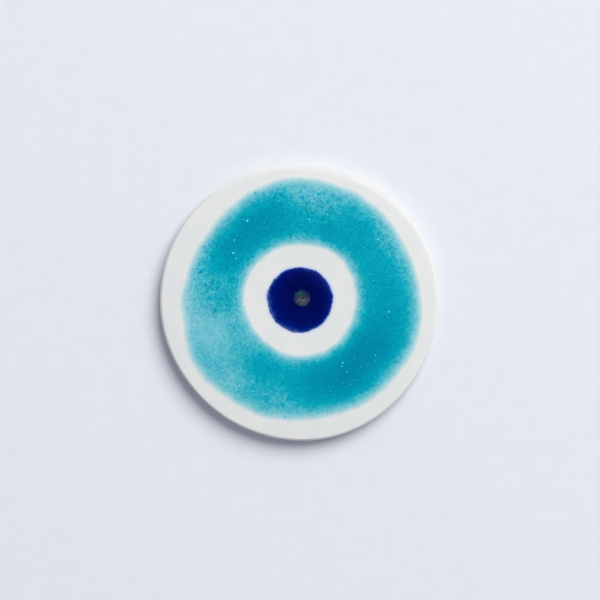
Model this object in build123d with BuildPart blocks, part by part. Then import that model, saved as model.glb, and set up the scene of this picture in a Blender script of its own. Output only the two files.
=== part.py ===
from build123d import *
import os
from math import cos, radians, sin

# A hand-made ceramic evil eye, face up. Millimetres, +Z out of its face, origin at the centre of
# the plane that it rests on, which is the contact face of the magnet in its back.

# Driving dimensions
disc_radius = 40.0  # over the white glaze
face_height = 5.0  # from the resting plane to the white face
arris_radius = 2.0  # sponged round top edge, over the glaze
glaze_coat = 0.25  # fired thickness of the white glaze
glaze_line = 1.2  # the white glaze stops this far above the resting plane
glaze_lip_round = 0.2  # its lower edge

magnet_radius = 7.5
magnet_thickness = 2.0
magnet_proud = 0.3  # the magnet stands this far out of the clay back
magnet_edge = 0.25
glue_gap = 0.5  # round the magnet
glue_film = 0.2  # over the magnet
glue_bead_width = 0.7  # squeezed out over the clay round the pocket
glue_bead_height = 0.15
glue_bead_taper = 60  # degrees, from upright

foot_round = 0.6  # wiped lower edge of the clay
pocket_round = 0.4  # roof corner of the pocket pressed into the wet clay

ring_coat = 0.12  # fired thickness of the turquoise layer
ring_feather = 1.6  # width over which its borders run out
ring_outer_radius = 34.2
ring_outer_centre = (0.5, -0.3)
ring_outer_waves = {2: (0.45, 56), 3: (0.75, 93)}  # waves a turn: (height, angle of a crest)
ring_inner_radius = 16.3
ring_inner_centre = (0.15, 0.5)
ring_inner_waves = {3: (0.25, 40)}
ring_outline_points = 48

pool_radius = 9.35
pool_centre = (0.05, 0.5)
pool_waves = {3: (0.07, 22), 7: (0.06, 10), 13: (0.05, 5)}
pool_outline_points = 78
pool_height = 0.55  # crown of the cobalt pool over the white face
pool_rim_height = 0.25
pool_rim_round = 0.15

pupil_radius = 2.45
pupil_offset = (0.7, 0.25)  # from the middle of the pool
pupil_depth = 0.3  # its seat in the cobalt
pupil_crown = 0.12  # over the cobalt round it
pupil_dome = 0.15  # rise of its domed top from its edge to its middle

# Worked-out dimensions
clay_radius = disc_radius - glaze_coat
clay_back = magnet_proud
clay_thickness = face_height - glaze_coat - clay_back
clay_arris = arris_radius - glaze_coat
pocket_radius = magnet_radius + glue_gap
pocket_depth = magnet_thickness + glue_film - magnet_proud
pupil_centre = (pool_centre[0] + pupil_offset[0], pool_centre[1] + pupil_offset[1])
pupil_seat_height = face_height + pool_height - pupil_depth


def wavy_radius(angle, radius, waves):
    """Distance from the centre to an outline that swells and shrinks a few times in a turn."""
    return radius + sum(
        height * cos(radians(count * (angle - crest))) for count, (height, crest) in waves.items()
    )


def wavy_outline(centre, radius, waves, points):
    """The hand-made round outline, as points for a closed spline."""
    outline = []
    for step in range(points):
        angle = 360 * step / points
        reach = wavy_radius(angle, radius, waves)
        x = centre[0] + reach * cos(radians(angle))
        y = centre[1] + reach * sin(radians(angle))
        outline.append((x, y))
    return outline


def cap_radius(half_width, rise):
    """Radius of the sphere whose cap has this half width and this rise."""
    return (half_width**2 + rise**2) / (2 * rise)


# The fired slab, with the pocket for the magnet in its back
with BuildPart() as clay_disc:
    with BuildSketch(Plane.XY.offset(clay_back)):
        Circle(clay_radius)
    extrude(amount=clay_thickness)
    fillet(clay_disc.edges().sort_by(Axis.Z)[-1], clay_arris)
    fillet(clay_disc.edges().sort_by(Axis.Z)[0], foot_round)
    with BuildSketch(Plane.XY.offset(clay_back)):
        Circle(pocket_radius)
    extrude(amount=pocket_depth, mode=Mode.SUBTRACT)
    fillet(clay_disc.edges(Select.LAST).sort_by(Axis.Z)[-1], pocket_round)

# The white coat over the face, the round top edge and the side, down to the glaze line
with BuildPart() as white_glaze:
    with BuildSketch(Plane.XY.offset(glaze_line)):
        Circle(disc_radius)
    extrude(amount=face_height - glaze_line)
    fillet(white_glaze.edges().sort_by(Axis.Z)[-1], arris_radius)
    fillet(white_glaze.edges().sort_by(Axis.Z)[0], glaze_lip_round)
    add(clay_disc.part, mode=Mode.SUBTRACT)
    # nothing of the coat reaches into the pocket
    with BuildSketch(Plane.XY):
        Circle(pocket_radius)
    extrude(amount=clay_back + pocket_depth, mode=Mode.SUBTRACT)

# The sprayed turquoise ring, a thin layer whose borders run out to nothing much
with BuildPart() as turquoise_glaze:
    for height, inset in ((face_height, 0), (face_height + ring_coat, ring_feather)):
        with BuildSketch(Plane.XY.offset(height)):
            with BuildLine():
                reach = ring_outer_radius - inset
                Spline(
                    *wavy_outline(ring_outer_centre, reach, ring_outer_waves, ring_outline_points),
                    periodic=True,
                )
            make_face()
    loft()
    for height, inset in ((face_height, 0), (face_height + ring_coat, ring_feather)):
        with BuildSketch(Plane.XY.offset(height)):
            with BuildLine():
                reach = ring_inner_radius + inset
                Spline(
                    *wavy_outline(ring_inner_centre, reach, ring_inner_waves, ring_outline_points),
                    periodic=True,
                )
            make_face()
    loft(mode=Mode.SUBTRACT)

# The thick cobalt pool: a wavy-edged drop with a gently crowned top and a seat for the pupil
with BuildPart() as cobalt_glaze:
    with BuildSketch(Plane.XY.offset(face_height)):
        with BuildLine():
            Spline(
                *wavy_outline(pool_centre, pool_radius, pool_waves, pool_outline_points),
                periodic=True,
            )
        make_face()
    extrude(amount=pool_height)
    crown_radius = cap_radius(pool_radius, pool_height - pool_rim_height)
    with Locations((*pool_centre, face_height + pool_height - crown_radius)):
        Sphere(crown_radius, mode=Mode.INTERSECT)
    rim = cobalt_glaze.faces().sort_by(SortBy.AREA)[-2:].sort_by(Axis.Z)[-1].outer_wire().edges()
    fillet(rim, pool_rim_round)
    with BuildSketch(Plane.XY.offset(pupil_seat_height)):
        with Locations(pupil_centre):
            Circle(pupil_radius)
    extrude(amount=pool_height, mode=Mode.SUBTRACT)

# The mottled drop in the middle, which sank into the pool and stands a little proud
with BuildPart() as pupil_drop:
    with BuildSketch(Plane.XY.offset(pupil_seat_height)):
        with Locations(pupil_centre):
            Circle(pupil_radius)
    extrude(amount=pupil_depth + pupil_crown)
    drop_radius = cap_radius(pupil_radius, pupil_dome)
    with Locations((*pupil_centre, pupil_seat_height + pupil_depth + pupil_crown - drop_radius)):
        Sphere(drop_radius, mode=Mode.INTERSECT)

# The disc magnet, with its contact face on the resting plane
with BuildPart() as magnet:
    with BuildSketch(Plane.XY):
        Circle(magnet_radius)
    extrude(amount=magnet_thickness)
    chamfer(magnet.edges().filter_by(GeomType.CIRCLE), magnet_edge)

# The glue: it fills the pocket round and over the magnet and is squeezed out in a low bead
with BuildPart() as magnet_adhesive:
    with BuildSketch(Plane.XY.offset(clay_back)):
        Circle(pocket_radius)
    extrude(amount=pocket_depth)
    fillet(magnet_adhesive.edges().sort_by(Axis.Z)[-1], pocket_round)
    with BuildSketch(Plane.XY.offset(clay_back)):
        Circle(pocket_radius + glue_bead_width)
    extrude(amount=-glue_bead_height, taper=glue_bead_taper)
    add(magnet.part, mode=Mode.SUBTRACT)

os.makedirs("parts", exist_ok=True)
pieces = {
    "clay_disc": clay_disc,
    "white_glaze": white_glaze,
    "turquoise_glaze": turquoise_glaze,
    "cobalt_glaze": cobalt_glaze,
    "pupil_drop": pupil_drop,
    "magnet": magnet,
    "magnet_adhesive": magnet_adhesive,
}
for name, piece in pieces.items():
    piece.part.label = name
    export_step(piece.part, f"parts/{name}.step")
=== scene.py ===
import math
import random

import bmesh
import bpy
import numpy as np
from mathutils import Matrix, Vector, noise


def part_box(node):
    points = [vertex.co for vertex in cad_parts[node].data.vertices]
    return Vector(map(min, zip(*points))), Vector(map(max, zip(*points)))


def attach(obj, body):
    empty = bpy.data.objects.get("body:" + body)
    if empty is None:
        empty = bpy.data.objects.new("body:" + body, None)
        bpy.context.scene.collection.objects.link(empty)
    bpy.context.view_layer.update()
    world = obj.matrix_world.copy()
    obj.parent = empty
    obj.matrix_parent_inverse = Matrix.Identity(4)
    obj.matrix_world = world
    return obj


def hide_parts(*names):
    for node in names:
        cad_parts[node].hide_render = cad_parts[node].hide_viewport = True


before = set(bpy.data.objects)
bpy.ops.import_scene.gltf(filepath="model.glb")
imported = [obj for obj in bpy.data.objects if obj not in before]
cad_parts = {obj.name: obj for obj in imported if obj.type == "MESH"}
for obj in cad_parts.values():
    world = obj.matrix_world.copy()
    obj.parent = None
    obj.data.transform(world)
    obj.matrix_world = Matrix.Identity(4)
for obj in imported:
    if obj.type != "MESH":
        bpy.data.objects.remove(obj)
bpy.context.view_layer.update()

# A hand-made ceramic evil eye, face up: metres, +Z out of its face, in the frame of the CAD model.
# Each glaze coat, the clay and what is in its back are meshes of their own, made of rows of points
# that run once round the disc, so the hand-made unevenness is a function of angle and place.

MM = 0.001

# ---------------------------------------------------------------- sizes, from the frame


def box_of(node):
    """A node's lowest and highest corners, its middle and its half width."""
    low, high = (np.array(corner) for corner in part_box(node))
    return low, high, (low + high) / 2, (high[0] - low[0]) / 2


coat_low, coat_high, _, disc_radius = box_of("white_glaze")
clay_low, clay_high, _, _ = box_of("clay_disc")
_, ring_high, _, ring_radius = box_of("turquoise_glaze")
_, pool_high, pool_middle, pool_radius = box_of("cobalt_glaze")
pupil_low, pupil_high, pupil_middle, pupil_radius = box_of("pupil_drop")
magnet_low, magnet_high, _, magnet_radius = box_of("magnet")
glue_low, glue_high, _, glue_radius = box_of("magnet_adhesive")

face = coat_high[2]
glaze_line = coat_low[2]
clay_back = clay_low[2]
coat = face - clay_high[2]
ring_coat = ring_high[2] - face
pool_crown = pool_high[2] - face
glue_gap = 0.5 * MM  # round the magnet, in the pocket of the clay
pocket_radius = magnet_radius + glue_gap
pocket_round = 0.4 * MM  # roof corner of the pocket
mouth_round = 0.35 * MM  # the pocket's mouth
foot_round = 0.6 * MM  # wiped lower edge of the clay

# ---------------------------------------------------------------- the hand-made outlines

# waves in one turn: {how many: (height, angle of a crest in degrees)}
DISC_WAVES = {1: (0.12 * MM, 8), 3: (0.25 * MM, 48), 4: (0.04 * MM, 0), 8: (0.03 * MM, 12)}
RING_OUTER_WAVES = {2: (0.45 * MM, 56), 3: (0.75 * MM, 93), 7: (0.15 * MM, 50), 11: (0.08 * MM, 20)}
RING_INNER_WAVES = {1: (0.12 * MM, 345), 2: (0.09 * MM, 150), 3: (0.25 * MM, 40), 5: (0.06 * MM, 36)}
POOL_WAVES = {1: (0.13 * MM, 345), 3: (0.07 * MM, 22), 7: (0.06 * MM, 10), 13: (0.05 * MM, 5)}

ring_outer_centre = (0.5 * MM, -0.3 * MM)
ring_inner_centre = (0.15 * MM, 0.5 * MM)
ring_inner_radius = 16.3 * MM


def turn(count):
    """Angles of a full turn."""
    return np.linspace(0, 2 * np.pi, count, endpoint=False)


def wavy(angles, radius, waves):
    """Radius of an outline that swells and shrinks a few times in a turn."""
    reach = np.full_like(angles, radius)
    for count, (height, crest) in waves.items():
        reach = reach + height * np.cos(count * (angles - math.radians(crest)))
    return reach


# where the sprayed ring's outer border steps in (-) or out (+): angle, width in degrees, height
RING_DENTS = [
    (191, 7, -0.9 * MM),
    (100, 6, 0.4 * MM),
    (338, 12, 0.5 * MM),
    (236, 18, -0.45 * MM),
    (300, 14, 0.3 * MM),
    (125, 12, 0.25 * MM),
    (320, 7, -0.3 * MM),
    (66, 8, 0.25 * MM),
]


def degrees_from(angles, middle):
    """How far angles are from this one, -180 to 180 degrees."""
    return (np.degrees(angles) - middle + 180) % 360 - 180


def bell(angles, middle, width):
    """1 at this angle, fading to 0 on both sides of it; middle and width in degrees."""
    return np.exp(-((degrees_from(angles, middle) / width) ** 2))


def ring_outer(angles):
    """Radius at which the turquoise mist ends, round its own centre."""
    reach = wavy(angles, ring_radius + MIST_OUT, RING_OUTER_WAVES)
    return reach + sum(height * bell(angles, middle, width) for middle, width, height in RING_DENTS)


def soft_noise(x, y, size, seed, octaves=2):
    """Smooth noise over the disc, about -1 to 1, whose features are this big."""
    x, y = np.broadcast_arrays(x, y)
    places = zip((x / size).ravel(), (y / size).ravel())
    values = [noise.fractal((a, b, 3.7 * seed), 1.0, 2.0, octaves) for a, b in places]
    return np.array(values).reshape(x.shape)


def ring_of(angles, radius, height, centre=(0.0, 0.0)):
    """One row of points round a centre."""
    x = centre[0] + radius * np.cos(angles)
    y = centre[1] + radius * np.sin(angles)
    return np.column_stack([x, y, np.broadcast_to(height, x.shape)])


def smooth(value):
    """0 to 1 with a soft start and end."""
    value = np.clip(value, 0, 1)
    return value * value * (3 - 2 * value)


# ---------------------------------------------------------------- meshes


def make_piece(name, rows, material, loop=False, creases=()):
    """A closed mesh from rows of points; its ends close in a point, or in a loop on each other.

    It is shaded smooth, except across the rows whose numbers are in creases.
    """
    turns = len(rows[0])
    count = len(rows)
    points = np.concatenate(rows)
    faces = []
    for k in range(count if loop else count - 1):
        here = k * turns
        there = (k + 1) % count * turns
        for j in range(turns):
            after = (j + 1) % turns
            faces.append((here + j, here + after, there + after, there + j))
    if not loop:
        first = len(points)
        points = np.concatenate([points, [rows[0].mean(axis=0)], [rows[-1].mean(axis=0)]])
        last_row = (count - 1) * turns
        for j in range(turns):
            after = (j + 1) % turns
            faces.append((first, after, j))
            faces.append((first + 1, last_row + j, last_row + after))
    mesh = bpy.data.meshes.new(name)
    mesh.from_pydata(points.tolist(), [], faces)
    solid = bmesh.new()
    solid.from_mesh(mesh)
    bmesh.ops.recalc_face_normals(solid, faces=solid.faces)
    for facet in solid.faces:
        facet.smooth = True
    for edge in solid.edges:
        first_row, second_row = (point.index // turns for point in edge.verts)
        if first_row == second_row and first_row in creases:
            edge.smooth = False
    solid.to_mesh(mesh)
    solid.free()
    mesh.materials.append(material)
    piece = bpy.data.objects.new(name, mesh)
    bpy.context.scene.collection.objects.link(piece)
    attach(piece, "root")
    return piece


def paint(piece, name, values):
    """Stores one number a point, for the materials to read."""
    attribute = piece.data.attributes.new(name, "FLOAT", "POINT")
    filled = np.zeros(len(piece.data.vertices), np.float32)
    filled[: len(values)] = values
    attribute.data.foreach_set("value", filled)


# ---------------------------------------------------------------- material nodes


def srgb(red, green, blue):
    """A colour as the eye names it, 0 to 255, as the linear numbers that a shader takes."""
    linear = []
    for level in (red, green, blue):
        share = level / 255
        linear.append(share / 12.92 if share <= 0.04045 else ((share + 0.055) / 1.055) ** 2.4)
    return (*linear, 1.0)


def new_material(name, roughness, **constants):
    """A material with its shader, and the place on the object that its patterns follow."""
    material = bpy.data.materials.new(name)
    material.use_nodes = True
    tree = material.node_tree
    shader = tree.nodes["Principled BSDF"]
    shader.inputs["Roughness"].default_value = roughness
    for socket, value in constants.items():
        shader.inputs[socket.replace("_", " ")].default_value = value
    place = tree.nodes.new("ShaderNodeTexCoord").outputs["Object"]
    return material, tree, shader, place


def add(tree, kind, inputs, **settings):
    """Adds a node; each input is a number, a colour, or an output to link."""
    node = tree.nodes.new(kind)
    for key, value in settings.items():
        setattr(node, key, value)
    for socket, value in inputs.items():
        if isinstance(value, bpy.types.NodeSocket):
            tree.links.new(value, node.inputs[socket])
        else:
            node.inputs[socket].default_value = value
    return node


def calc(tree, operation, a, b=0.0, clamp=False):
    """Arithmetic on one or two numbers."""
    return add(tree, "ShaderNodeMath", {0: a, 1: b}, operation=operation, use_clamp=clamp).outputs[0]


def stretch(tree, value, low, high, to_low=0.0, to_high=1.0):
    """Maps low..high to to_low..to_high, clamped, with a soft start and end."""
    inputs = {
        "Value": value,
        "From Min": low,
        "From Max": high,
        "To Min": to_low,
        "To Max": to_high,
    }
    return add(tree, "ShaderNodeMapRange", inputs, interpolation_type="SMOOTHSTEP").outputs[0]


def grain(tree, place, size, detail=2.0, roughness=0.55):
    """Noise with features of this size in metres, about 0.3 to 0.7."""
    inputs = {"Vector": place, "Scale": 1 / size, "Detail": detail, "Roughness": roughness}
    return add(tree, "ShaderNodeTexNoise", inputs).outputs["Fac"]


def dots(tree, place, spacing, radius, share):
    """Round dots at random places, 1 in their middle; only this share of the cells has one."""
    cells = add(tree, "ShaderNodeTexVoronoi", {"Vector": place, "Scale": 1 / spacing})
    chance = add(tree, "ShaderNodeSeparateColor", {"Color": cells.outputs["Color"]}).outputs["Red"]
    present = calc(tree, "LESS_THAN", chance, share)
    dot = stretch(tree, cells.outputs["Distance"], radius / spacing, 0.4 * radius / spacing)
    return calc(tree, "MULTIPLY", dot, present)


def ramp(tree, factor, stops):
    """A colour from a row of (position, colour)."""
    node = add(tree, "ShaderNodeValToRGB", {"Fac": factor})
    elements = node.color_ramp.elements
    while len(elements) < len(stops):
        elements.new(0.5)
    for element, (position, colour) in zip(elements, stops):
        element.position = position
        element.color = colour
    return node.outputs["Color"]


def mix(tree, factor, first, second):
    """A mix of two colours."""
    node = add(tree, "ShaderNodeMix", {0: factor, 6: first, 7: second}, data_type="RGBA")
    return node.outputs[2]


def painted(tree, name):
    """The number that paint() stored."""
    return add(tree, "ShaderNodeAttribute", {}, attribute_name=name).outputs["Fac"]


def bump(tree, shader, height, depth):
    """Fine relief: height runs 0 to 1 over this depth in metres."""
    inputs = {"Height": height, "Distance": depth, "Strength": 1.0}
    tree.links.new(add(tree, "ShaderNodeBump", inputs).outputs["Normal"], shader.inputs["Normal"])


def link(tree, output, shader, socket):
    """Feeds one of the shader's inputs."""
    tree.links.new(output, shader.inputs[socket])


# ---------------------------------------------------------------- materials

WHITE = srgb(227, 227, 222)
WHITE_COOL = srgb(223, 224, 221)
# grey of the thin glaze over the edge's crest, also used as painted shade on the edge that faces the
# lamp
WHITE_THIN_AND_PAINTED_SHADE = srgb(209, 210, 209)
COBALT_BLEED = srgb(150, 175, 228)


def white_colour(tree, place):
    """The white glaze: cloudy by a hair, with rare grey specks of iron."""
    clouds = stretch(tree, grain(tree, place, 9 * MM, 3), 0.35, 0.65)
    colour = mix(tree, clouds, WHITE, WHITE_COOL)
    specks = dots(tree, place, 2.6 * MM, 0.13 * MM, 0.10)
    return mix(tree, calc(tree, "MULTIPLY", specks, 0.35), colour, srgb(150, 140, 124))


def white_relief(tree, place):
    """Orange peel and pinholes of the satin glaze."""
    peel = grain(tree, place, 0.9 * MM, 2)
    pinholes = dots(tree, place, 1.7 * MM, 0.11 * MM, 0.16)
    return calc(tree, "SUBTRACT", peel, pinholes)


def white_glaze_material():
    """The satin white, thin and greyer over the crest of the edge, with painted shade on the edge that
    faces the lamp, and cobalt bled in by the pool.
    """
    material, tree, shader, place = new_material("satin_white_glaze", 0.4, Specular_IOR_Level=0.2)
    streaks = stretch(tree, grain(tree, place, 2.5 * MM, 3), 0.35, 0.65, 0.8, 1.0)
    # painted shade: the white is greyed most on the edge that faces the lamp, to damp its highlight
    thin = calc(tree, "MULTIPLY", painted(tree, "thin"), streaks)
    colour = mix(tree, thin, white_colour(tree, place), WHITE_THIN_AND_PAINTED_SHADE)
    colour = mix(tree, painted(tree, "bleed"), colour, COBALT_BLEED)
    link(tree, colour, shader, "Base Color")
    sheen = stretch(tree, grain(tree, place, 3 * MM, 2), 0.3, 0.7, 0.34, 0.46)
    link(tree, sheen, shader, "Roughness")
    bump(tree, shader, white_relief(tree, place), 0.012 * MM)
    return material


# from the bare white to the deepest turquoise, by how much glaze was sprayed on
TURQUOISE_TONES = [
    (0.0, WHITE),
    (0.10, srgb(196, 217, 218)),
    (0.20, srgb(153, 204, 210)),
    (0.30, srgb(114, 191, 202)),
    (0.40, srgb(79, 180, 194)),
    (0.50, srgb(39, 170, 186)),
    (0.58, srgb(5, 162, 180)),
    (0.70, srgb(1, 152, 173)),
    (0.85, srgb(0, 141, 166)),
    (1.0, srgb(0, 131, 158)),
]


def turquoise_material():
    """The sprayed glaze: its tone follows how much lies at a place, with drops, and small bubbles
    whose lighter dots are partly painted glints.
    """
    name = "sprayed_turquoise_glaze"
    material, tree, shader, place = new_material(name, 0.28, Specular_IOR_Level=0.05)
    spray = painted(tree, "spray")
    # the borders are a smooth mist; the speckle is inside, where drops ran together
    inside = stretch(tree, spray, 0.06, 0.55)
    # drops of thicker glaze are darker than the coat round them, most of all in a middling coat
    middling = calc(tree, "MULTIPLY", inside, stretch(tree, spray, 0.45, 0.75, 1.2, 0.2))
    heavy = stretch(tree, spray, 0.4, 0.7)
    drops = stretch(tree, grain(tree, place, 0.6 * MM, 3, 0.62), 0.4, 0.66, -0.4, 0.6)
    drops = calc(tree, "MULTIPLY", drops, painted(tree, "clots"))
    blotches = calc(tree, "SUBTRACT", grain(tree, place, 1.6 * MM, 3, 0.6), 0.5)
    # small bubbles: real bumps, and lighter dots of painted glint in the heavier coat
    bubbles = calc(tree, "MULTIPLY", dots(tree, place, 0.95 * MM, 0.21 * MM, 0.4), heavy)
    extra = calc(tree, "MULTIPLY", drops, 0.09)
    extra = calc(tree, "ADD", extra, calc(tree, "MULTIPLY", blotches, 0.25))
    amount = calc(tree, "ADD", spray, calc(tree, "MULTIPLY", extra, middling))
    amount = calc(tree, "SUBTRACT", amount, calc(tree, "MULTIPLY", bubbles, 0.09), clamp=True)
    tones = ramp(tree, amount, TURQUOISE_TONES)
    lean = stretch(tree, spray, 0.5, 0.9, -0.3, -0.18)
    shade = calc(tree, "MULTIPLY", calc(tree, "MULTIPLY", drops, inside), lean)
    shade = calc(tree, "ADD", shade, calc(tree, "MULTIPLY", bubbles, 0.2))
    shade = calc(tree, "ADD", shade, 1.0)
    tones = add(tree, "ShaderNodeVectorMath", {0: tones, 1: shade}, operation="MULTIPLY").outputs[0]
    # here a hair greener, there a hair bluer
    hue = calc(tree, "SUBTRACT", grain(tree, place, 2.4 * MM, 4, 0.6), 0.5)
    green = calc(tree, "ADD", calc(tree, "MULTIPLY", hue, -0.18), 1.0)
    blue = calc(tree, "ADD", calc(tree, "MULTIPLY", hue, 0.24), 1.0)
    tint = add(tree, "ShaderNodeCombineXYZ", {0: 1.0, 1: green, 2: blue}).outputs[0]
    tones = add(tree, "ShaderNodeVectorMath", {0: tones, 1: tint}, operation="MULTIPLY").outputs[0]
    bare = stretch(tree, amount, 0.0, 0.10, 1.0, 0.0)
    link(tree, mix(tree, bare, tones, white_colour(tree, place)), shader, "Base Color")
    link(tree, stretch(tree, amount, 0.0, 0.10, 0.4, 0.28), shader, "Roughness")
    relief = calc(tree, "ADD", white_relief(tree, place), calc(tree, "MULTIPLY", drops, inside))
    bump(tree, shader, calc(tree, "ADD", relief, bubbles), 0.02 * MM)
    return material


# from the thin rim of the pool to its deepest part
COBALT_TONES = [
    (0.0, srgb(150, 168, 205)),
    (0.20, srgb(48, 84, 156)),
    (0.38, srgb(2, 26, 118)),
    (0.62, srgb(0, 13, 94)),
    (1.0, srgb(0, 5, 70)),
]


def cobalt_material():
    """The cobalt glaze, lighter where it is thin, a little cloudy and specked."""
    material, tree, shader, place = new_material("cobalt_pool_glaze", 0.3, Specular_IOR_Level=0.05)
    depth = painted(tree, "depth")
    cloud = calc(tree, "SUBTRACT", grain(tree, place, 3.2 * MM, 4), 0.5)
    specks = calc(tree, "SUBTRACT", grain(tree, place, 0.45 * MM, 3, 0.65), 0.5)
    depth = calc(tree, "ADD", depth, calc(tree, "MULTIPLY", cloud, 0.5))
    depth = calc(tree, "ADD", depth, calc(tree, "MULTIPLY", specks, 0.5), clamp=True)
    link(tree, ramp(tree, depth, COBALT_TONES), shader, "Base Color")
    bump(tree, shader, grain(tree, place, 1.3 * MM, 2), 0.01 * MM)
    return material


def pupil_material():
    """The crust of the pupil: green and grey grains, with cobalt between them and at its edge."""
    material, tree, shader, place = new_material("mottled_pupil_glaze", 0.35, Specular_IOR_Level=0.08)
    patches = stretch(tree, grain(tree, place, 0.7 * MM, 3, 0.6), 0.42, 0.58, 0.4, 1.0)
    green = calc(tree, "MULTIPLY", painted(tree, "green"), patches)
    colour = mix(tree, green, srgb(8, 38, 76), srgb(42, 86, 80))
    grains = stretch(tree, grain(tree, place, 0.5 * MM, 3, 0.6), 0.42, 0.58, 0.4, 1.0)
    grey = calc(tree, "MULTIPLY", painted(tree, "grey"), grains)
    colour = mix(tree, grey, colour, srgb(106, 104, 108))
    flecks = stretch(tree, grain(tree, place, 0.55 * MM, 2, 0.7), 0.52, 0.58, 0.0, 0.85)
    colour = mix(tree, flecks, colour, srgb(16, 40, 56))
    edge = stretch(tree, painted(tree, "edge"), 0.0, 1.0)
    link(tree, mix(tree, edge, colour, srgb(0, 9, 76)), shader, "Base Color")
    bump(tree, shader, grains, 0.02 * MM)
    return material


def blister_material():
    """The pale skin of the healed bubbles: the larger a bubble, the thinner and paler its skin; the
    pale colour is partly painted glint.
    """
    material, tree, shader, place = new_material("burst_bubble_glaze_with_painted_glint", 0.3, Specular_IOR_Level=0.12)
    # painted glint: the paler beads take a near white-cyan colour in place of glints of light
    colour = mix(tree, painted(tree, "pale"), srgb(56, 205, 226), srgb(118, 226, 248))
    link(tree, colour, shader, "Base Color")
    bump(tree, shader, grain(tree, place, 0.1 * MM), 0.005 * MM)
    return material


def clay_material():
    """Bare fired clay: sandy, specked and pitted, with a faint print of cloth."""
    material, tree, shader, place = new_material("bisque_clay", 0.85, Specular_IOR_Level=0.25)
    clouds = stretch(tree, grain(tree, place, 11 * MM, 3), 0.35, 0.65)
    colour = mix(tree, clouds, srgb(222, 211, 193), srgb(211, 198, 178))
    sand = stretch(tree, grain(tree, place, 0.2 * MM, 3, 0.6), 0.3, 0.7)
    colour = mix(tree, calc(tree, "MULTIPLY", sand, 0.35), colour, srgb(188, 172, 150))
    specks = dots(tree, place, 1.5 * MM, 0.16 * MM, 0.12)
    colour = mix(tree, calc(tree, "MULTIPLY", specks, 0.6), colour, srgb(120, 92, 68))
    link(tree, colour, shader, "Base Color")
    # the weave of the cloth that the slab was rolled on, pressed faintly into the back
    weave = []
    for direction in ("X", "Y"):
        inputs = {"Vector": place, "Scale": 0.32 / MM, "Distortion": 0.6, "Detail": 1.0}
        bands = add(tree, "ShaderNodeTexWave", inputs, bands_direction=direction)
        weave.append(bands.outputs["Fac"])
    cloth = calc(tree, "MULTIPLY", weave[0], weave[1])
    patchy = stretch(tree, grain(tree, place, 14 * MM, 2), 0.4, 0.65, 0.15, 0.9)
    cloth = calc(tree, "MULTIPLY", cloth, patchy)
    pits = dots(tree, place, 1.6 * MM, 0.2 * MM, 0.3)
    relief = calc(tree, "ADD", calc(tree, "MULTIPLY", sand, 0.5), cloth)
    bump(tree, shader, calc(tree, "SUBTRACT", relief, pits), 0.04 * MM)
    return material


def nickel_material():
    """Nickel plate, smudged and finely scratched."""
    material, tree, shader, place = new_material("nickel_plate", 0.28, Metallic=1.0)
    smudge = stretch(tree, grain(tree, place, 4 * MM, 3), 0.3, 0.7)
    link(tree, mix(tree, smudge, srgb(204, 201, 194), srgb(193, 189, 180)), shader, "Base Color")
    link(tree, stretch(tree, grain(tree, place, 5 * MM, 2), 0.3, 0.7, 0.25, 0.34), shader, "Roughness")
    stretched = add(tree, "ShaderNodeMapping", {"Vector": place, "Scale": (1.0, 14.0, 1.0)}).outputs[0]
    scratches = stretch(tree, grain(tree, stretched, 1.8 * MM, 4, 0.7), 0.5, 0.72)
    bump(tree, shader, scratches, 0.006 * MM)
    return material


def glue_material():
    """Hard amber glue, cloudy, with bubbles in it."""
    material, tree, shader, place = new_material("two_part_glue", 0.22, Specular_IOR_Level=0.5)
    clouds = stretch(tree, grain(tree, place, 2 * MM, 3), 0.35, 0.65)
    colour = mix(tree, clouds, srgb(214, 198, 156), srgb(196, 176, 128))
    bubbles = dots(tree, place, 0.9 * MM, 0.2 * MM, 0.3)
    colour = mix(tree, calc(tree, "MULTIPLY", bubbles, 0.5), colour, srgb(232, 224, 200))
    link(tree, colour, shader, "Base Color")
    bump(tree, shader, bubbles, 0.03 * MM)
    return material


# ---------------------------------------------------------------- the white coat and the clay

FACE_TURNS = 880
FLAT_RADIUS = 0.8 * disc_radius
EDGE_FALL = 0.005 / MM  # the face falls by this times its distance past the flat, squared
ARRIS_STEPS = 14  # rows over the sponged edge
GLAZE_ROLL = 0.35 * MM  # height of the roll in which the glaze stopped

# rows on the face, closer by the pool's outline, the ring's inner border and the sponged edge:
# first and last radius in mm, number of rows
FACE_ROWS = [
    (1.0, 8.0, 5),
    (8.6, 11.2, 18),
    (12.5, 14.0, 2),
    (15.0, 18.0, 9),
    (19.5, 32.5, 9),
    (33.0, 36.0, 10),
]
LAST_FACE_ROW = FACE_ROWS[-1][1] * MM

BLEED_STRENGTH = 0.7  # of the cobalt in the white at the pool's outline
BLEED_REACH = 0.33 * MM  # it falls by two thirds over this distance

angles = turn(FACE_TURNS)
outline = wavy(angles, disc_radius, DISC_WAVES)


def near_angle(middle, width):
    """1 at this angle, fading to 0 this many degrees away."""
    return smooth(1 - np.abs(degrees_from(angles, middle)) / width)


# the sponge took most off the edge at the upper right, and least at the lower left and right
arris_width = (0.95 + 2.5 * near_angle(70, 58)) * MM
arris_width = arris_width - (0.3 * near_angle(235, 60) + 0.2 * near_angle(305, 50)) * MM
usual_width = 1.45 * MM
usual_drop = 1.55 * MM
arris_drop = usual_drop + 0.25 * (arris_width - usual_width)


def face_level(x, y):
    """Height of the white face, which is a hair uneven and falls away a little towards its edge."""
    broad = 0.040 * MM * soft_noise(x, y, 16 * MM, 1)
    fine = 0.012 * MM * soft_noise(x, y, 2.4 * MM, 2)
    past_flat = np.clip(np.hypot(x, y) - FLAT_RADIUS, 0, None)
    return face + broad + fine - EDGE_FALL * past_flat**2


def face_row(radius):
    """A row on the white face."""
    row = ring_of(angles, radius, 0.0)
    row[:, 2] = face_level(row[:, 0], row[:, 1])
    return row


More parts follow.
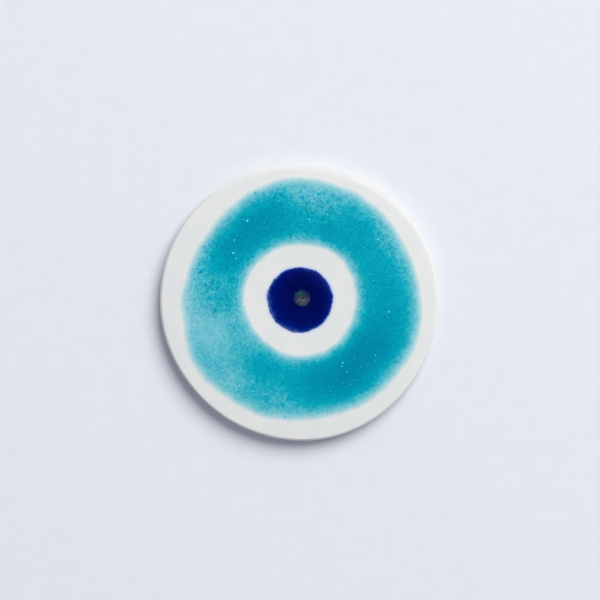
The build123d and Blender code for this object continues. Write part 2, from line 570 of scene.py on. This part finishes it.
def edge_rows(inset, steps, side_low, side_steps):
    """Rows over the sponged edge and down the side, this far inside the outer skin."""
    shoulder = face_row(outline - arris_width)[:, 2]
    rows = []
    for step in range(1, steps + 1):
        lean = math.radians(90 * step / steps)
        out = outline - arris_width + (arris_width - inset) * math.sin(lean)
        drop = (arris_drop - inset) * (1 - math.cos(lean))
        rows.append(ring_of(angles, out, shoulder - inset - drop))
    top = shoulder - arris_drop
    x = disc_radius * np.cos(angles)
    y = disc_radius * np.sin(angles)
    for step in range(1, side_steps + 1):
        part = step / side_steps
        height = top + (side_low - top) * part
        wobble = soft_noise(x, y + height, 3 * MM, 5)
        out = outline - inset + 0.035 * MM * wobble * math.sin(math.pi * part)
        rows.append(ring_of(angles, out, height))
    return rows


wander = soft_noise(disc_radius * np.cos(angles), disc_radius * np.sin(angles), 5 * MM, 7)
glaze_edge = glaze_line + 0.12 * MM + 0.16 * MM * wander


def build_white_coat():
    """The white coat: a skin over the face, the edge and the side, with a roll at the glaze line."""
    reach = outline - arris_width
    radii = np.concatenate([np.linspace(*span) for span in FACE_ROWS])
    rows = [face_row(radius * MM) for radius in radii]
    for part in np.linspace(0.1, 1.0, 8):
        rows.append(face_row(LAST_FACE_ROW + (reach - LAST_FACE_ROW) * part))
    crest_start = len(rows)
    rows += edge_rows(0.0, ARRIS_STEPS, glaze_edge + GLAZE_ROLL, 8)
    crest_end = len(rows)
    # the glaze gathered in a low roll before it stopped on the clay
    for lean in np.linspace(0.0, np.pi, 9)[1:]:
        out = outline - coat * (1 - math.cos(lean)) / 2 + 0.07 * MM * math.sin(lean)
        rows.append(ring_of(angles, out, glaze_edge + GLAZE_ROLL - GLAZE_ROLL * math.sin(lean * 0.5)))
    # the roll ends on the first row of the inner skin, so that row is left out here
    inner = edge_rows(coat, 5, glaze_edge, 3)[:-1]
    rows += inner[::-1]
    for part in np.linspace(0.98, 0.02, 10):
        row = face_row(reach * part)
        row[:, 2] -= coat
        rows.append(row)
    piece = make_piece("white_coat", rows, white_glaze_material())
    # the coat is thin over the crest of the edge, and greyer still on the side that faces the lamp,
    # where the grey is painted shade that damps the edge's highlight
    thin = np.zeros((len(rows), FACE_TURNS))
    thin_coat_and_painted_shade = 0.12 + 0.88 * near_angle(56, 78)
    for k in range(crest_start, crest_end):
        along = (k - crest_start + 1) / ARRIS_STEPS
        thin[k] = smooth(along / 0.45) * smooth((1.3 - along) / 0.6) * thin_coat_and_painted_shade
    paint(piece, "thin", thin.ravel())
    # the cobalt bled a little way into the white round the pool
    points = np.concatenate(rows)
    x, y = points[:, 0], points[:, 1]
    beyond = (pool_share(x, y) - 1) * pool_radius
    on_top = points[:, 2] > face - coat / 2
    bleed = BLEED_STRENGTH * np.exp(-np.clip(beyond, 0, None) / BLEED_REACH)
    paint(piece, "bleed", bleed * on_top)
    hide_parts("white_glaze")


def build_clay():
    """The fired slab: bare on its back and in a narrow band under the glaze line."""
    rows = []
    for part in np.linspace(0.02, 1.0, 6):
        row = face_row((outline - arris_width) * part)
        row[:, 2] -= coat
        rows.append(row)
    rows += edge_rows(coat, 5, glaze_edge + 0.2 * MM, 3)
    clay_out = outline - coat
    for height in np.linspace(glaze_line, clay_back + foot_round, 6):
        rough = soft_noise(clay_out * np.cos(angles), clay_out * np.sin(angles) + height, 0.9 * MM, 9)
        rows.append(ring_of(angles, clay_out + 0.03 * MM * rough, height))
    for lean in np.linspace(0, np.pi / 2, 7)[1:]:
        out = clay_out - foot_round * (1 - math.cos(lean))
        rows.append(ring_of(angles, out, clay_back + foot_round * (1 - math.sin(lean))))
    flat = clay_out - foot_round
    mouth = pocket_radius + mouth_round
    for part in np.linspace(0, 1, 60)[1:]:
        row = ring_of(angles, flat + (mouth - flat) * part, 0.0)
        broad = soft_noise(row[:, 0], row[:, 1], 9 * MM, 11)
        drag = soft_noise(row[:, 0] * 0.15, row[:, 1], 1.1 * MM, 12, 3)
        fade = smooth(part * 12) * smooth((1 - part) * 12)
        row[:, 2] = clay_back + (0.03 * MM * (broad + 1) / 2 + 0.035 * MM * np.abs(drag)) * fade
        rows.append(row)
    for lean in np.linspace(0, np.pi / 2, 6)[1:]:
        out = pocket_radius + mouth_round * (1 - math.sin(lean))
        rows.append(ring_of(angles, out, clay_back + mouth_round * (1 - math.cos(lean))))
    rows.append(ring_of(angles, pocket_radius, glue_high[2] - pocket_round))
    rows.append(ring_of(angles, pocket_radius - pocket_round, glue_high[2]))
    rows.append(ring_of(angles, 1 * MM, glue_high[2]))
    piece = make_piece("clay_body", rows, clay_material())
    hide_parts("clay_disc")


# ---------------------------------------------------------------- the turquoise ring

# where the spray gun lingered (+) or passed quickly (-): angle, radius mm, spread mm, amount
PUFFS = [
    (299, 25, 9, 0.29),
    (330, 26, 7.5, 0.23),
    (330, 33, 5, 0.03),
    (122, 26, 7.5, 0.165),
    (142, 30, 5, 0.06),
    (64, 18.5, 4.5, 0.14),
    (110, 24, 4, 0.07),
    (322, 21, 4, 0.08),
    (145, 24.5, 5.5, 0.10),
    (166, 24, 5.5, -0.11),
    (195, 28, 8, -0.33),
    (198, 19, 5, -0.12),
    (212, 26, 7, -0.15),
    (222, 21, 4.5, -0.11),
    (213, 30, 3.5, -0.06),
    (235, 27.5, 3, -0.08),
    (228, 30, 6, -0.22),
    (179, 32, 5, -0.16),
    (252, 28, 6, -0.16),
    (85, 31, 6, -0.24),
    (95, 30, 4, -0.04),
    (72, 27.5, 5, -0.11),
    (35, 31, 6, -0.10),
    (270, 32, 5, -0.08),
    (262, 30, 3, -0.08),
    (276, 22.5, 4, 0.05),
    (262, 19.5, 4.5, -0.05),
    (354, 29, 5, 0.05),
    (320, 32.5, 3, -0.11),
    (284, 32, 3, -0.05),
    (165, 27, 3.5, -0.06),
    (67, 29, 3, -0.05),
    (218, 17.3, 2.5, -0.09),
    (275, 18.5, 2.5, -0.05),
    (18, 26.5, 3.5, -0.04),
    (55, 27.5, 3, -0.04),
    (150, 28, 2.5, -0.05),
    (240, 32, 2.5, 0.05),
]
FULL_SPRAY = 0.698  # in the middle of the ring
MIST_OUT = 1.27 * MM  # the mist goes this far past the outer border
MIST_IN = 1.22 * MM  # and past the inner border
BUILD_OUT = 3.72 * MM  # how far from the end of the mist the coat has built up by two thirds
BUILD_IN = 2.87 * MM

RING_TURNS = 960
SKIN_ROWS = 96
SKIN_LIFT = 0.004 * MM  # keeps the skin over the white where hardly any glaze lies
SKIN_DIP = 0.006 * MM  # so slight that no line shows where the skin goes under the white
SKIN_SPARE = 0.1 * MM  # the skin goes this far past the end of the mist
SKIN_SINK = 0.08 * MM  # its underside lies this far under the white face

# where the speckle is coarser: angle, width in degrees, extra strength
CLOTS = [(165, 30, 0.4), (82, 25, 0.35), (30, 25, 0.2)]
USUAL_CLOTS = 0.68

# drops that landed whole and show darker: angle, radius mm, size mm
DRIPS = [
    (261, 30.1, 0.60),
    (263, 33.6, 0.22),
    (112, 33.4, 0.35),
    (74, 29.5, 0.40),
    (80, 31.2, 0.40),
    (88, 29.8, 0.35),
    (99, 31.0, 0.35),
    (163, 29.5, 0.50),
    (170, 27.2, 0.40),
    (178, 25.8, 0.45),
    (187, 24.4, 0.40),
    (150, 31.4, 0.40),
]
DRIP_AMOUNT = 0.25


def spot(x, y, angle, radius, size):
    """1 at a place on the face, fading to 0 round it; angle in degrees, radius and size in mm."""
    spot_x = radius * MM * math.cos(math.radians(angle))
    spot_y = radius * MM * math.sin(math.radians(angle))
    return np.exp(-((x - spot_x) ** 2 + (y - spot_y) ** 2) / (size * MM) ** 2)


def spray_amount(x, y):
    """How much turquoise lies at a place: 0 where the white is bare, 1 at the deepest."""
    way_out = np.arctan2(y - ring_outer_centre[1], x - ring_outer_centre[0])
    way_in = np.arctan2(y - ring_inner_centre[1], x - ring_inner_centre[0])
    outer = ring_outer(way_out)
    inner = wavy(way_in, ring_inner_radius - MIST_IN, RING_INNER_WAVES)
    from_outer = outer - np.hypot(x - ring_outer_centre[0], y - ring_outer_centre[1])
    from_inner = np.hypot(x - ring_inner_centre[0], y - ring_inner_centre[1]) - inner
    # the borders wander a little, as the stencil stood off the clay
    stray = 0.3 * MM * soft_noise(x, y, 3.5 * MM, 21, 3)
    fade_out = 1 - np.exp(-((np.clip(from_outer + stray, 0, None) / BUILD_OUT) ** 1.4))
    fade_in = 1 - np.exp(-((np.clip(from_inner + stray, 0, None) / BUILD_IN) ** 1.5))
    amount = np.full(x.shape, FULL_SPRAY)
    for angle, radius, spread, change in PUFFS:
        amount = amount + change * spot(x, y, angle, radius, spread)
    amount = amount + 0.05 * soft_noise(x, y, 4.5 * MM, 22, 3)
    amount = np.clip(amount, 0.25, 1.05)
    # a heavier coat builds up more slowly from its border
    amount = amount * (fade_out * fade_in) ** (amount / FULL_SPRAY)
    for angle, radius, size in DRIPS:
        amount = amount + DRIP_AMOUNT * spot(x, y, angle, radius, size)
    return amount


def ring_top(x, y, amount):
    """Height of the turquoise skin, which lies a hair over the white where no glaze was sprayed."""
    lift = ring_coat * np.clip(amount / FULL_SPRAY, 0, 1.2)
    fine = 0.008 * MM * soft_noise(x, y, 0.8 * MM, 23) * np.clip(amount * 2, 0, 1)
    return face_level(x, y) + lift + fine + SKIN_LIFT


def build_turquoise():
    """The sprayed ring: a thin skin on the white face whose borders run out to nothing."""
    around = turn(RING_TURNS)
    outer = ring_outer(around) + SKIN_SPARE
    inner = wavy(around, ring_inner_radius - MIST_IN - SKIN_SPARE, RING_INNER_WAVES)
    outer_edge = ring_of(around, outer, 0.0, ring_outer_centre)
    inner_edge = ring_of(around, inner, 0.0, ring_inner_centre)
    creases = (0, SKIN_ROWS - 1)
    rows = []
    amounts = []
    for k, part in enumerate(np.linspace(0, 1, SKIN_ROWS)):
        row = inner_edge + (outer_edge - inner_edge) * part
        amount = spray_amount(row[:, 0], row[:, 1])
        row[:, 2] = ring_top(row[:, 0], row[:, 1], amount)
        if k in creases:
            row[:, 2] -= SKIN_DIP
        rows.append(row)
        amounts.append(amount)
    for part in (1.0, 0.5, 0.0):
        row = inner_edge + (outer_edge - inner_edge) * part
        row[:, 2] = face_level(row[:, 0], row[:, 1]) - SKIN_SINK
        rows.append(row)
        amounts.append(np.zeros(RING_TURNS))
    piece = make_piece("turquoise_ring", rows, turquoise_material(), loop=True, creases=creases)
    paint(piece, "spray", np.concatenate(amounts))
    clots = USUAL_CLOTS + sum(gain * bell(around, middle, width) for middle, width, gain in CLOTS)
    paint(piece, "clots", np.tile(clots, len(rows)))
    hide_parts("turquoise_glaze")


BUBBLE_COUNT = 300
BUBBLE_TURNS = 14

# bright burst bubbles that stand out one by one, lit up with painted glints: angle, radius mm, size mm
BUBBLES_WITH_PAINTED_GLINT = [
    (123, 27.4, 0.30),
    (144, 23.4, 0.27),
    (137, 25.6, 0.22),
    (102, 29.2, 0.20),
    (83, 23.6, 0.22),
    (62, 34.2, 0.20),
    (60, 33.0, 0.20),
    (54, 31.6, 0.22),
    (38, 28.6, 0.22),
    (353, 25.8, 0.24),
    (305, 21.6, 0.22),
    (303, 22.4, 0.18),
    (235, 29.8, 0.22),
    (146, 21.8, 0.20),
]


def build_blisters():
    """Bubbles that burst while the glaze was soft and healed as pale beads on the turquoise, their
    pale colour partly painted glints.
    """
    chance = random.Random(5)
    spots = [(math.radians(a), r * MM, size * MM) for a, r, size in BUBBLES_WITH_PAINTED_GLINT]
    while len(spots) < BUBBLE_COUNT:
        angle = math.radians(chance.gauss(350, 100))
        radius = math.sqrt(chance.uniform(18.5**2, 32.0**2)) * MM
        spots.append((angle, radius, chance.triangular(0.06, 0.17, 0.09) * MM))
    mesh = bmesh.new()
    around = turn(BUBBLE_TURNS)
    paleness_and_painted_glint = []
    for angle, radius, size in spots:
        x = radius * math.cos(angle)
        y = radius * math.sin(angle)
        here = np.array([[x, y]])
        top = ring_top(here[:, 0], here[:, 1], spray_amount(here[:, 0], here[:, 1]))[0]
        levels = []
        for lean in (-20, 10, 40, 65):
            out = size * math.cos(math.radians(lean))
            height = top + 0.45 * size * math.sin(math.radians(lean))
            levels.append([mesh.verts.new(p) for p in ring_of(around, out, height, (x, y))])
        peak = mesh.verts.new((x, y, top + 0.45 * size))
        under = mesh.verts.new((x, y, top - 0.2 * size))
        # painted glint: the larger the bead, the paler its colour
        pale = smooth((size - 0.12 * MM) / (0.1 * MM))
        paleness_and_painted_glint += [pale] * (len(levels) * len(around) + 2)
        for j in range(len(around)):
            after = (j + 1) % len(around)
            for low, high in zip(levels, levels[1:]):
                mesh.faces.new((low[j], low[after], high[after], high[j]))
            mesh.faces.new((levels[-1][j], levels[-1][after], peak))
            mesh.faces.new((levels[0][after], levels[0][j], under))
    data = bpy.data.meshes.new("healed_bubbles")
    mesh.to_mesh(data)
    mesh.free()
    data.shade_smooth()
    data.materials.append(blister_material())
    piece = bpy.data.objects.new("healed_bubbles", data)
    bpy.context.scene.collection.objects.link(piece)
    paint(piece, "pale", paleness_and_painted_glint)
    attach(piece, "root")


# ---------------------------------------------------------------- the cobalt pool and the pupil

POOL_TURNS = 720
PUPIL_TURNS = 180
FRILL = 0.17 * MM  # of the pool's rim, in and out
POOL_SINK = 0.06 * MM  # the pool's underside lies this far under the white face

pool_centre = (pool_middle[0], pool_middle[1])
pupil_centre = (pupil_middle[0], pupil_middle[1])


def pool_height(share):
    """Height of the pool over the white face, from its middle (0) to its edge (1)."""
    return pool_crown * (1 - np.clip(share, 0, 1) ** 3.2) ** 0.5


def pool_outline(angles):
    """Radius of the pool round its own centre; it ran out a little on its left."""
    return wavy(angles, pool_radius, POOL_WAVES) + 0.28 * MM * bell(angles, 174, 10)


def pool_share(x, y):
    """How far a place is from the middle of the pool, 1 on its outline."""
    way = np.arctan2(y - pool_centre[1], x - pool_centre[0])
    return np.hypot(x - pool_centre[0], y - pool_centre[1]) / pool_outline(way)


def build_pool():
    """The thick cobalt drop, flat on top, steep at its wavy rim."""
    around = turn(POOL_TURNS)
    edge = pool_outline(around)
    frill = soft_noise(pool_radius * np.cos(around), pool_radius * np.sin(around), 0.75 * MM, 31, 2)
    frill = FRILL * frill
    rows = []
    depths = []
    for part in np.linspace(0.02, 1.0, 64):
        share = math.sin(part * math.pi / 2)
        row = ring_of(around, edge * share + frill * share**8, 0.0, pool_centre)
        lift = pool_height(share)
        swell = 0.02 * MM * soft_noise(row[:, 0], row[:, 1], 4 * MM, 32) * min(1.0, 8 * (1 - share))
        row[:, 2] = face_level(row[:, 0], row[:, 1]) + lift + swell
        rows.append(row)
        # the glaze is thinner towards the lower left
        deep = 1 - smooth((row[:, 0] * -0.5 + row[:, 1] * -0.5) / pool_radius + 0.35) * 0.35
        depths.append(np.clip(lift / pool_crown, 0, 1) * deep)
    for share in (1.0, 0.5, 0.02):
        row = ring_of(around, (edge + frill) * share, 0.0, pool_centre)
        row[:, 2] = face_level(row[:, 0], row[:, 1]) - POOL_SINK
        rows.append(row)
        depths.append(np.zeros(len(around)))
    piece = make_piece("cobalt_pool", rows, cobalt_material())
    paint(piece, "depth", np.concatenate(depths))
    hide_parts("cobalt_glaze")


def build_pupil():
    """The mottled drop in the middle: a crust of grains that sank into the cobalt."""
    around = turn(PUPIL_TURNS)
    crown = (pupil_high[2] - pool_high[2]) * 0.8
    ragged = soft_noise(pupil_radius * np.cos(around), pupil_radius * np.sin(around), 1.4 * MM, 41, 3)
    edge = pupil_radius * 1.10 + 0.25 * MM * ragged
    rows = []
    looks = {"edge": [], "green": [], "grey": []}
    for part in np.linspace(0.02, 1.0, 44):
        row = ring_of(around, edge * part, 0.0, pupil_centre)
        x, y = row[:, 0], row[:, 1]
        base = face_level(x, y) + pool_height(pool_share(x, y))
        grains = 0.05 * MM * soft_noise(x, y, 0.55 * MM, 42, 3) * (1 - part**4)
        row[:, 2] = base + crown * (1 - part**2) + grains - 0.01 * MM * part
        rows.append(row)
        east = (x - pupil_centre[0]) / pupil_radius
        north = (y - pupil_centre[1]) / pupil_radius
        north = north + 0.2 * soft_noise(x, y, 1.1 * MM, 43)
        # a green arch over a greyish crust, and a paler green crescent under it
        arch = np.exp(-(((east + 0.25) / 0.5) ** 2) - ((north - 0.5) / 0.4) ** 2)
        crescent = np.exp(-(((east - 0.15) / 0.6) ** 2) - ((north + 0.75) / 0.22) ** 2)
        looks["green"].append(np.clip(arch + 0.9 * crescent, 0, 1))
        looks["grey"].append(np.exp(-(((east - 0.1) / 0.75) ** 2) - ((north + 0.32) / 0.38) ** 2))
        looks["edge"].append(np.full(len(around), smooth((part - 0.64) / 0.36)))
    for part in (1.0, 0.5, 0.02):
        rows.append(ring_of(around, edge * part, pupil_low[2], pupil_centre))
        for values in looks.values():
            values.append(np.zeros(len(around)))
    piece = make_piece("mottled_pupil", rows, pupil_material())
    for name, values in looks.items():
        paint(piece, name, np.concatenate(values))
    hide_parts("pupil_drop")


# ---------------------------------------------------------------- the magnet and its glue

MAGNET_TURNS = 260
MAGNET_EDGE = 0.22 * MM  # tumbled edge of the magnet
GLUE_TURNS = 360


def build_magnet():
    """The plated disc magnet: flat faces, softly tumbled edges and a chip or two in the rim."""
    around = turn(MAGNET_TURNS)
    low, high = magnet_low[2], magnet_high[2]
    chips = soft_noise(magnet_radius * np.cos(around), magnet_radius * np.sin(around), 1.6 * MM, 51, 2)
    nick = 0.10 * MM * smooth((chips - 0.35) * 4)
    rows = [ring_of(around, magnet_radius * part, low) for part in np.linspace(0.02, 0.94, 14)]
    for lean in np.linspace(0, np.pi / 2, 7):
        out = magnet_radius - MAGNET_EDGE * (1 - math.sin(lean)) - nick * math.sin(2 * lean)
        rows.append(ring_of(around, out, low + MAGNET_EDGE * (1 - math.cos(lean))))
    for part in np.linspace(0.2, 0.8, 3):
        rows.append(ring_of(around, magnet_radius, low + (high - low) * part))
    for lean in np.linspace(0, np.pi / 2, 5):
        out = magnet_radius - MAGNET_EDGE * (1 - math.cos(lean))
        rows.append(ring_of(around, out, high - MAGNET_EDGE * (1 - math.sin(lean))))
    rows.append(ring_of(around, magnet_radius * 0.02, high))
    piece = make_piece("disc_magnet", rows, nickel_material())
    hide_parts("magnet")


def build_glue():
    """The glue: a cup round the magnet with a hollow fillet that wets its side and the clay."""
    around = turn(GLUE_TURNS)
    spread = soft_noise(glue_radius * np.cos(around), glue_radius * np.sin(around), 3.5 * MM, 61, 3)
    reach = glue_radius - 0.15 * MM + 0.28 * MM * spread
    # it crept up the magnet a little more here than there
    creep = soft_noise(9 * np.cos(around), 9 * np.sin(around), 3.0, 62)
    climb = glue_low[2] + 0.02 * MM + 0.03 * MM * creep
    roof = glue_high[2]
    rows = [ring_of(around, magnet_radius * part, magnet_high[2]) for part in (0.02, 0.97)]
    rows.append(ring_of(around, magnet_radius, magnet_high[2] - 0.25 * MM))
    rows.append(ring_of(around, magnet_radius - 0.01 * MM, climb - 0.02 * MM))
    for part in np.linspace(0, 1, 12):
        sag = (1 - part) ** 2.2
        out = magnet_radius + (reach - magnet_radius) * part
        rows.append(ring_of(around, out, clay_back + 0.01 * MM + (climb - clay_back) * sag))
    rows.append(ring_of(around, reach, clay_back + 0.05 * MM))
    rows.append(ring_of(around, pocket_radius, clay_back + 0.4 * MM))
    rows.append(ring_of(around, pocket_radius, roof - pocket_round))
    rows.append(ring_of(around, pocket_radius - pocket_round, roof))
    rows.append(ring_of(around, 0.2 * MM, roof))
    piece = make_piece("glue_fillet", rows, glue_material())
    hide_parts("magnet_adhesive")


# ---------------------------------------------------------------- floor, light and camera

FLOOR_TONE = srgb(227, 230, 235)
FLOOR_TONE_DARKER = srgb(224, 227, 232)
FLOOR_REACH = 1.5  # half the board's side, in metres

WINDOW_AWAY = 3.0  # distance of the lamp in metres
WINDOW_SIZE = 2.3
WINDOW_POWER = 102
WINDOW_HEIGHT = 45.7  # degrees over the floor
WINDOW_SIDE = 54.5  # degrees round from +X
ROOM_STRENGTH = 0.71


def build_floor():
    """A plain pale board under the disc."""
    material, tree, shader, place = new_material("pale_board", 0.9, Specular_IOR_Level=0.1)
    fibres = stretch(tree, grain(tree, place, 5 * MM, 4), 0.2, 0.8)
    link(tree, mix(tree, fibres, FLOOR_TONE, FLOOR_TONE_DARKER), shader, "Base Color")
    corners = [(FLOOR_REACH * x, FLOOR_REACH * y, 0) for x, y in ((-1, -1), (1, -1), (1, 1), (-1, 1))]
    mesh = bpy.data.meshes.new("pale_board")
    mesh.from_pydata(corners, [], [(0, 1, 2, 3)])
    mesh.materials.append(material)
    floor = bpy.data.objects.new("pale_board", mesh)
    bpy.context.scene.collection.objects.link(floor)


def build_light():
    """One large soft light from the upper right, and a cool room round it, darker overhead."""
    light = bpy.data.lights.new("window", "AREA")
    light.shape = "DISK"
    light.size = WINDOW_SIZE
    light.energy = WINDOW_POWER
    light.color = (1.0, 0.985, 0.96)
    lamp = bpy.data.objects.new("window", light)
    height = math.radians(WINDOW_HEIGHT)
    side = math.radians(WINDOW_SIDE)
    toward = Vector(
        (math.cos(height) * math.cos(side), math.cos(height) * math.sin(side), math.sin(height))
    )
    lamp.location = toward * WINDOW_AWAY
    lamp.rotation_euler = toward.to_track_quat("Z", "Y").to_euler()
    bpy.context.scene.collection.objects.link(lamp)

    world = bpy.data.worlds.new("room")
    world.use_nodes = True
    tree = world.node_tree
    way = tree.nodes.new("ShaderNodeTexCoord").outputs["Generated"]
    up = add(tree, "ShaderNodeSeparateXYZ", {0: way}).outputs["Z"]
    overhead = stretch(tree, up, 0.55, 0.95)
    colour = mix(tree, overhead, srgb(214, 222, 240), srgb(70, 74, 84))
    tree.links.new(colour, tree.nodes["Background"].inputs["Color"])
    tree.nodes["Background"].inputs["Strength"].default_value = ROOM_STRENGTH
    bpy.context.scene.world = world


DISC_SHARE = 0.465  # of the picture's width that the disc takes up
AIM = (0.2 * MM, 0.3 * MM)  # the point of the face in the middle of the picture
LENS = 100
SENSOR = 36


def build_camera():
    """Straight down, from far enough that the disc looks flat."""
    data = bpy.data.cameras.new("camera")
    data.lens = LENS
    data.sensor_width = SENSOR
    seen_width = 2 * disc_radius / DISC_SHARE
    distance = seen_width * data.lens / data.sensor_width
    camera = bpy.data.objects.new("camera", data)
    camera.location = (*AIM, face + distance)
    bpy.context.scene.collection.objects.link(camera)
    bpy.context.scene.camera = camera


# ---------------------------------------------------------------- build

bpy.context.scene.view_settings.view_transform = "Standard"
build_camera()
build_floor()
build_light()
build_white_coat()
build_clay()
build_turquoise()
build_blisters()
build_pool()
build_pupil()
build_magnet()
build_glue()
